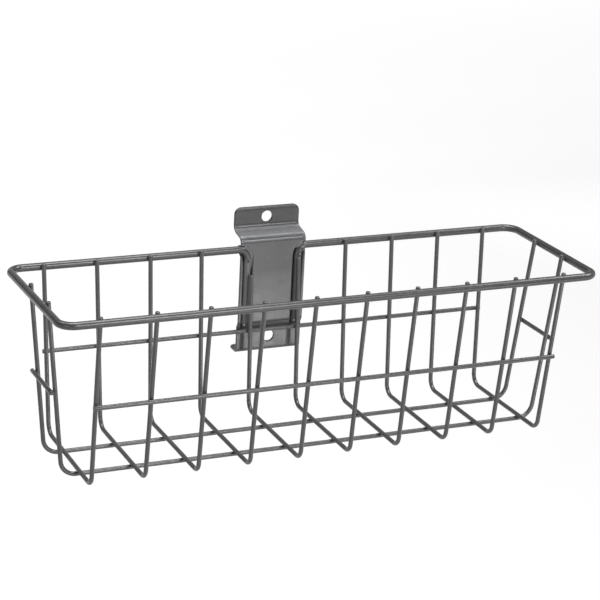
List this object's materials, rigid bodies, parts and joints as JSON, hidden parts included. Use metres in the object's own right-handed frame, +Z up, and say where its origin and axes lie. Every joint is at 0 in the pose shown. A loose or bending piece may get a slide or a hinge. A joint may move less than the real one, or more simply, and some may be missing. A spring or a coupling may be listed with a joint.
{
  "type": "metal basket",
  "caption": "Long tapered basket of welded, powder-coated steel wire, hung from the wall by a stamped sheet bracket with two screw holes.",
  "frame": {"origin": "centre of the bracket's upper hole, on the wall plane behind the tab", "axes": "+X along the basket's length, to the viewer's right when facing the wall; +Y into the wall; +Z up"},
  "size_m": [0.4224, 0.1478, 0.1607],
  "materials": {
    "rim_coat": "satin graphite powder coat",
    "wire_coat": "satin graphite powder coat",
    "sheet_coat": "satin graphite powder coat",
    "weld_coat": "weld metal under the same coat"
  },
  "bodies": {
    "root": {"cross_wire_01": "wire_coat", "cross_wire_02": "wire_coat", "cross_wire_03": "wire_coat", "cross_wire_04": "wire_coat", "cross_wire_05": "wire_coat", "cross_wire_06": "wire_coat", "cross_wire_07": "wire_coat", "cross_wire_08": "wire_coat", "cross_wire_09": "wire_coat", "cross_wire_10": "wire_coat", "hanging_bracket": "sheet_coat", "long_wire_back": "wire_coat", "long_wire_front": "wire_coat", "mid_wire_back": "wire_coat", "mid_wire_front": "wire_coat", "mid_wire_left": "wire_coat", "mid_wire_right": "wire_coat", "rim_wire": "rim_coat", "weld_nodule_left": "weld_coat", "weld_nodule_right": "weld_coat"}
  },
  "joints": []
}
